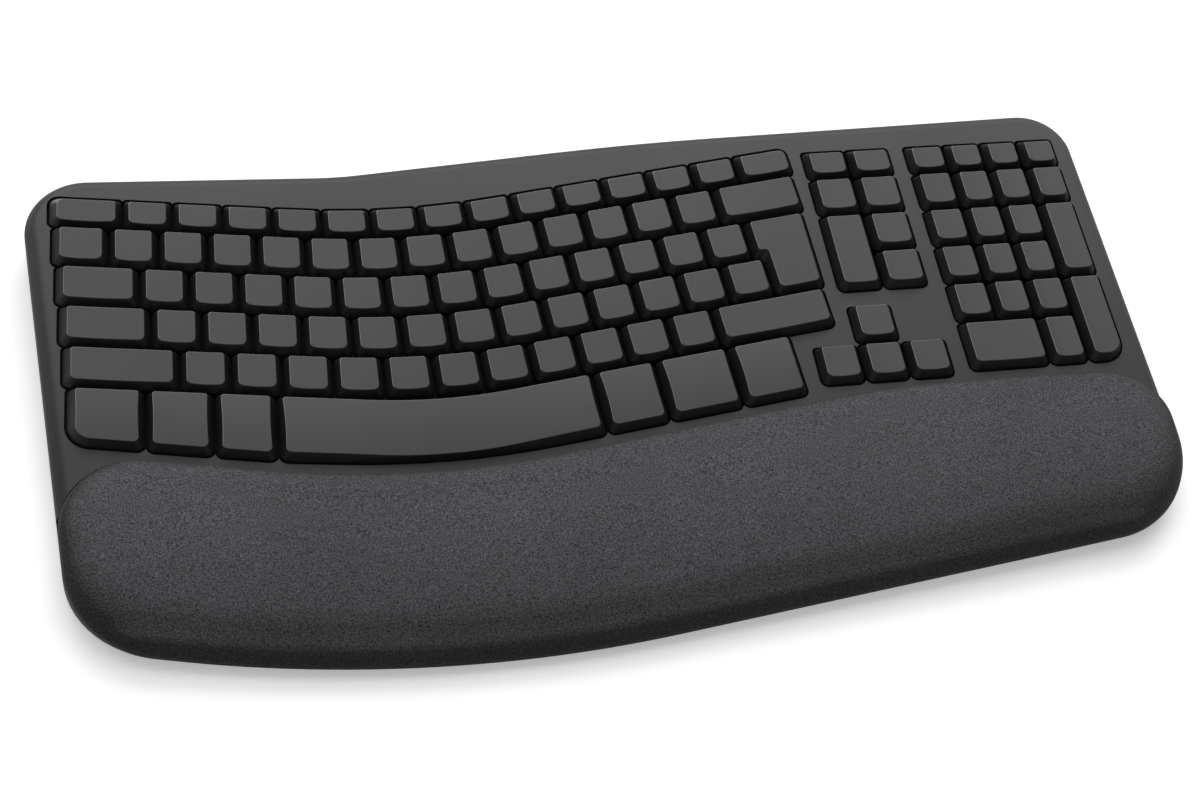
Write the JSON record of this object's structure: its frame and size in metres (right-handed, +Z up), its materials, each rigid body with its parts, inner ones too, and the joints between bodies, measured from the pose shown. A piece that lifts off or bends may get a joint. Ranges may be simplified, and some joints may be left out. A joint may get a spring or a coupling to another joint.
{
  "type": "ergonomic keyboard",
  "caption": "Full-size keyboard with a gently waved key field, navigation block, number pad, fabric palm rest, tilt legs and battery power.",
  "frame": {"origin": "bottom centre of the part's box, on the desk under the middle of the keyboard", "axes": "+X along the length towards the number pad, +Y to the rear, +Z up"},
  "size_m": [0.4401, 0.2347, 0.0299],
  "materials": {
    "key_plastic": "fine matt moulded",
    "case_plastic": "satin moulded",
    "base_plastic": "fine spark texture",
    "frame_plastic": "plain moulded",
    "silicone": "soft moulded",
    "foil": "clear printed foil",
    "plate_steel": "rolled sheet",
    "foam": "open-cell foam",
    "cover_fabric": "fine melange knit",
    "screw_steel": "blackened steel",
    "foot_rubber": "matt rubber",
    "cell_jacket": "plain printed jacket",
    "contact_steel": "nickel-plated spring steel",
    "switch_plastic": "plain moulded",
    "board_laminate": "lacquered laminate",
    "slider_plastic": "plain moulded"
  },
  "bodies": {
    "case": {"top_case": "case_plastic", "bottom_case": "base_plastic", "key_frame": "frame_plastic", "dome_sheet": "silicone", "membrane": "foil", "backing_plate": "plate_steel", "palm_rest_foam": "foam", "palm_rest_cover": "cover_fabric", "case_screws": "screw_steel", "rubber_feet": "foot_rubber", "batteries": "cell_jacket", "battery_contacts": "contact_steel", "power_switch": "switch_plastic", "circuit_board": "board_laminate"},
    "left_leg": {"left_leg": "base_plastic", "left_leg_pad": "foot_rubber"},
    "right_leg": {"right_leg": "base_plastic", "right_leg_pad": "foot_rubber"},
    "battery_door": {"battery_door": "base_plastic"},
    "power_slider": {"power_slider": "slider_plastic"},
    "space_bar": {"space_bar": "key_plastic"},
    "enter_key": {"enter_key": "key_plastic"},
    "escape_key": {"escape_key": "key_plastic"},
    "left_control_key": {"left_control_key": "key_plastic"},
    "pad_enter_key": {"pad_enter_key": "key_plastic"},
    "pad_zero_key": {"pad_zero_key": "key_plastic"},
    "nav_tall_key": {"nav_tall_key": "key_plastic"},
    "backspace_key": {"backspace_key": "key_plastic"},
    "arrow_up_key": {"arrow_up_key": "key_plastic"},
    "left_shift_key": {"left_shift_key": "key_plastic"},
    "right_shift_key": {"right_shift_key": "key_plastic"},
    "tab_key": {"tab_key": "key_plastic"},
    "caps_lock_key": {"caps_lock_key": "key_plastic"},
    "home_letters_left": {"home_letters_left": "key_plastic"},
    "home_letters_right": {"home_letters_right": "key_plastic"},
    "number_keys_left": {"number_keys_left": "key_plastic"},
    "function_keys_left": {"function_keys_left": "key_plastic"},
    "upper_letters_right": {"upper_letters_right": "key_plastic"},
    "function_keys_right": {"function_keys_right": "key_plastic"},
    "number_keys_right": {"number_keys_right": "key_plastic"},
    "upper_letters_left": {"upper_letters_left": "key_plastic"},
    "lower_letters_left": {"lower_letters_left": "key_plastic"},
    "lower_letters_right": {"lower_letters_right": "key_plastic"},
    "left_function_key": {"left_function_key": "key_plastic"},
    "left_alt_key": {"left_alt_key": "key_plastic"},
    "right_alt_key": {"right_alt_key": "key_plastic"},
    "right_function_key": {"right_function_key": "key_plastic"},
    "right_control_key": {"right_control_key": "key_plastic"},
    "nav_function_keys": {"nav_function_keys": "key_plastic"},
    "nav_page_keys": {"nav_page_keys": "key_plastic"},
    "arrow_left_key": {"arrow_left_key": "key_plastic"},
    "arrow_down_key": {"arrow_down_key": "key_plastic"},
    "arrow_right_key": {"arrow_right_key": "key_plastic"},
    "pad_function_keys": {"pad_function_keys": "key_plastic"},
    "pad_top_keys": {"pad_top_keys": "key_plastic"},
    "pad_upper_digits": {"pad_upper_digits": "key_plastic"},
    "pad_middle_digits": {"pad_middle_digits": "key_plastic"},
    "pad_lower_digits": {"pad_lower_digits": "key_plastic"},
    "pad_plus_key": {"pad_plus_key": "key_plastic"},
    "pad_dot_key": {"pad_dot_key": "key_plastic"}
  },
  "joints": [
    {"name": "left_leg_fold", "type": "hinge", "parent": "case", "child": "left_leg", "pos_m": [-0.172, 0.083, 0.0038], "axis": [1, 0, 0], "range_deg": [0, 95]},
    {"name": "right_leg_fold", "type": "hinge", "parent": "case", "child": "right_leg", "pos_m": [0.172, 0.092, 0.0038], "axis": [1, 0, 0], "range_deg": [0, 95]},
    {"name": "battery_door_swing", "type": "hinge", "parent": "case", "child": "battery_door", "pos_m": [0.068, 0.0997, 0.0023], "axis": [1, 0, 0], "range_deg": [0, 90]},
    {"name": "power_slide", "type": "slide", "parent": "case", "child": "power_slider", "axis": [1, 0, 0], "range_m": [0, 0.003]},
    {"name": "space_bar_press", "type": "slide", "parent": "case", "child": "space_bar", "axis": [0, 0.0523, -0.9986], "range_m": [0, 0.003], "stiffness_N_per_m": 150, "springref_m": -0.001, "deforming": ["dome_sheet"]},
    {"name": "enter_key_press", "type": "slide", "parent": "case", "child": "enter_key", "axis": [0, 0.0523, -0.9986], "range_m": [0, 0.003], "stiffness_N_per_m": 150, "springref_m": -0.001, "deforming": ["dome_sheet"]},
    {"name": "escape_key_press", "type": "slide", "parent": "case", "child": "escape_key", "axis": [0, 0.0523, -0.9986], "range_m": [0, 0.003], "stiffness_N_per_m": 150, "springref_m": -0.001, "deforming": ["dome_sheet"]},
    {"name": "left_control_key_press", "type": "slide", "parent": "case", "child": "left_control_key", "axis": [0, 0.0523, -0.9986], "range_m": [0, 0.003], "stiffness_N_per_m": 150, "springref_m": -0.001, "deforming": ["dome_sheet"]},
    {"name": "pad_enter_key_press", "type": "slide", "parent": "case", "child": "pad_enter_key", "axis": [0, 0.0523, -0.9986], "range_m": [0, 0.003], "stiffness_N_per_m": 150, "springref_m": -0.001, "deforming": ["dome_sheet"]},
    {"name": "pad_zero_key_press", "type": "slide", "parent": "case", "child": "pad_zero_key", "axis": [0, 0.0523, -0.9986], "range_m": [0, 0.003], "stiffness_N_per_m": 150, "springref_m": -0.001, "deforming": ["dome_sheet"]},
    {"name": "nav_tall_key_press", "type": "slide", "parent": "case", "child": "nav_tall_key", "axis": [0, 0.0523, -0.9986], "range_m": [0, 0.003], "stiffness_N_per_m": 150, "springref_m": -0.001, "deforming": ["dome_sheet"]},
    {"name": "backspace_key_press", "type": "slide", "parent": "case", "child": "backspace_key", "axis": [0, 0.0523, -0.9986], "range_m": [0, 0.003], "stiffness_N_per_m": 150, "springref_m": -0.001, "deforming": ["dome_sheet"]},
    {"name": "arrow_up_key_press", "type": "slide", "parent": "case", "child": "arrow_up_key", "axis": [0, 0.0523, -0.9986], "range_m": [0, 0.003], "stiffness_N_per_m": 150, "springref_m": -0.001, "deforming": ["dome_sheet"]},
    {"name": "left_shift_key_press", "type": "slide", "parent": "case", "child": "left_shift_key", "axis": [0, 0.0523, -0.9986], "range_m": [0, 0.003], "stiffness_N_per_m": 150, "springref_m": -0.001, "deforming": ["dome_sheet"]},
    {"name": "right_shift_key_press", "type": "slide", "parent": "case", "child": "right_shift_key", "axis": [0, 0.0523, -0.9986], "range_m": [0, 0.003], "stiffness_N_per_m": 150, "springref_m": -0.001, "deforming": ["dome_sheet"]},
    {"name": "tab_key_press", "type": "slide", "parent": "case", "child": "tab_key", "axis": [0, 0.0523, -0.9986], "range_m": [0, 0.003], "stiffness_N_per_m": 150, "springref_m": -0.001, "deforming": ["dome_sheet"]},
    {"name": "caps_lock_key_press", "type": "slide", "parent": "case", "child": "caps_lock_key", "axis": [0, 0.0523, -0.9986], "range_m": [0, 0.003], "stiffness_N_per_m": 150, "springref_m": -0.001, "deforming": ["dome_sheet"]},
    {"name": "home_letters_left_press", "type": "slide", "parent": "case", "child": "home_letters_left", "axis": [0, 0.0523, -0.9986], "range_m": [0, 0.003], "stiffness_N_per_m": 900, "springref_m": -0.001, "deforming": ["dome_sheet"]},
    {"name": "home_letters_right_press", "type": "slide", "parent": "case", "child": "home_letters_right", "axis": [0, 0.0523, -0.9986], "range_m": [0, 0.003], "stiffness_N_per_m": 1050, "springref_m": -0.001, "deforming": ["dome_sheet"]},
    {"name": "number_keys_left_press", "type": "slide", "parent": "case", "child": "number_keys_left", "axis": [0, 0.0523, -0.9986], "range_m": [0, 0.003], "stiffness_N_per_m": 1050, "springref_m": -0.001, "deforming": ["dome_sheet"]},
    {"name": "function_keys_left_press", "type": "slide", "parent": "case", "child": "function_keys_left", "axis": [0, 0.0523, -0.9986], "range_m": [0, 0.003], "stiffness_N_per_m": 1050, "springref_m": -0.001, "deforming": ["dome_sheet"]},
    {"name": "upper_letters_right_press", "type": "slide", "parent": "case", "child": "upper_letters_right", "axis": [0, 0.0523, -0.9986], "range_m": [0, 0.003], "stiffness_N_per_m": 1050, "springref_m": -0.001, "deforming": ["dome_sheet"]},
    {"name": "function_keys_right_press", "type": "slide", "parent": "case", "child": "function_keys_right", "axis": [0, 0.0523, -0.9986], "range_m": [0, 0.003], "stiffness_N_per_m": 1050, "springref_m": -0.001, "deforming": ["dome_sheet"]},
    {"name": "number_keys_right_press", "type": "slide", "parent": "case", "child": "number_keys_right", "axis": [0, 0.0523, -0.9986], "range_m": [0, 0.003], "stiffness_N_per_m": 1050, "springref_m": -0.001, "deforming": ["dome_sheet"]},
    {"name": "upper_letters_left_press", "type": "slide", "parent": "case", "child": "upper_letters_left", "axis": [0, 0.0523, -0.9986], "range_m": [0, 0.003], "stiffness_N_per_m": 900, "springref_m": -0.001, "deforming": ["dome_sheet"]},
    {"name": "lower_letters_left_press", "type": "slide", "parent": "case", "child": "lower_letters_left", "axis": [0, 0.0523, -0.9986], "range_m": [0, 0.003], "stiffness_N_per_m": 900, "springref_m": -0.001, "deforming": ["dome_sheet"]},
    {"name": "lower_letters_right_press", "type": "slide", "parent": "case", "child": "lower_letters_right", "axis": [0, 0.0523, -0.9986], "range_m": [0, 0.003], "stiffness_N_per_m": 750, "springref_m": -0.001, "deforming": ["dome_sheet"]},
    {"name": "left_function_key_press", "type": "slide", "parent": "case", "child": "left_function_key", "axis": [0, 0.0523, -0.9986], "range_m": [0, 0.003], "stiffness_N_per_m": 150, "springref_m": -0.001, "deforming": ["dome_sheet"]},
    {"name": "left_alt_key_press", "type": "slide", "parent": "case", "child": "left_alt_key", "axis": [0, 0.0523, -0.9986], "range_m": [0, 0.003], "stiffness_N_per_m": 150, "springref_m": -0.001, "deforming": ["dome_sheet"]},
    {"name": "right_alt_key_press", "type": "slide", "parent": "case", "child": "right_alt_key", "axis": [0, 0.0523, -0.9986], "range_m": [0, 0.003], "stiffness_N_per_m": 150, "springref_m": -0.001, "deforming": ["dome_sheet"]},
    {"name": "right_function_key_press", "type": "slide", "parent": "case", "child": "right_function_key", "axis": [0, 0.0523, -0.9986], "range_m": [0, 0.003], "stiffness_N_per_m": 150, "springref_m": -0.001, "deforming": ["dome_sheet"]},
    {"name": "right_control_key_press", "type": "slide", "parent": "case", "child": "right_control_key", "axis": [0, 0.0523, -0.9986], "range_m": [0, 0.003], "stiffness_N_per_m": 150, "springref_m": -0.001, "deforming": ["dome_sheet"]},
    {"name": "nav_function_keys_press", "type": "slide", "parent": "case", "child": "nav_function_keys", "axis": [0, 0.0523, -0.9986], "range_m": [0, 0.003], "stiffness_N_per_m": 300, "springref_m": -0.001, "deforming": ["dome_sheet"]},
    {"name": "nav_page_keys_press", "type": "slide", "parent": "case", "child": "nav_page_keys", "axis": [0, 0.0523, -0.9986], "range_m": [0, 0.003], "stiffness_N_per_m": 600, "springref_m": -0.001, "deforming": ["dome_sheet"]},
    {"name": "arrow_left_key_press", "type": "slide", "parent": "case", "child": "arrow_left_key", "axis": [0, 0.0523, -0.9986], "range_m": [0, 0.003], "stiffness_N_per_m": 150, "springref_m": -0.001, "deforming": ["dome_sheet"]},
    {"name": "arrow_down_key_press", "type": "slide", "parent": "case", "child": "arrow_down_key", "axis": [0, 0.0523, -0.9986], "range_m": [0, 0.003], "stiffness_N_per_m": 150, "springref_m": -0.001, "deforming": ["dome_sheet"]},
    {"name": "arrow_right_key_press", "type": "slide", "parent": "case", "child": "arrow_right_key", "axis": [0, 0.0523, -0.9986], "range_m": [0, 0.003], "stiffness_N_per_m": 150, "springref_m": -0.001, "deforming": ["dome_sheet"]},
    {"name": "pad_function_keys_press", "type": "slide", "parent": "case", "child": "pad_function_keys", "axis": [0, 0.0523, -0.9986], "range_m": [0, 0.003], "stiffness_N_per_m": 600, "springref_m": -0.001, "deforming": ["dome_sheet"]},
    {"name": "pad_top_keys_press", "type": "slide", "parent": "case", "child": "pad_top_keys", "axis": [0, 0.0523, -0.9986], "range_m": [0, 0.003], "stiffness_N_per_m": 600, "springref_m": -0.001, "deforming": ["dome_sheet"]},
    {"name": "pad_upper_digits_press", "type": "slide", "parent": "case", "child": "pad_upper_digits", "axis": [0, 0.0523, -0.9986], "range_m": [0, 0.003], "stiffness_N_per_m": 450, "springref_m": -0.001, "deforming": ["dome_sheet"]},
    {"name": "pad_middle_digits_press", "type": "slide", "parent": "case", "child": "pad_middle_digits", "axis": [0, 0.0523, -0.9986], "range_m": [0, 0.003], "stiffness_N_per_m": 450, "springref_m": -0.001, "deforming": ["dome_sheet"]},
    {"name": "pad_lower_digits_press", "type": "slide", "parent": "case", "child": "pad_lower_digits", "axis": [0, 0.0523, -0.9986], "range_m": [0, 0.003], "stiffness_N_per_m": 450, "springref_m": -0.001, "deforming": ["dome_sheet"]},
    {"name": "pad_plus_key_press", "type": "slide", "parent": "case", "child": "pad_plus_key", "axis": [0, 0.0523, -0.9986], "range_m": [0, 0.003], "stiffness_N_per_m": 150, "springref_m": -0.001, "deforming": ["dome_sheet"]},
    {"name": "pad_dot_key_press", "type": "slide", "parent": "case", "child": "pad_dot_key", "axis": [0, 0.0523, -0.9986], "range_m": [0, 0.003], "stiffness_N_per_m": 150, "springref_m": -0.001, "deforming": ["dome_sheet"]}
  ]
}
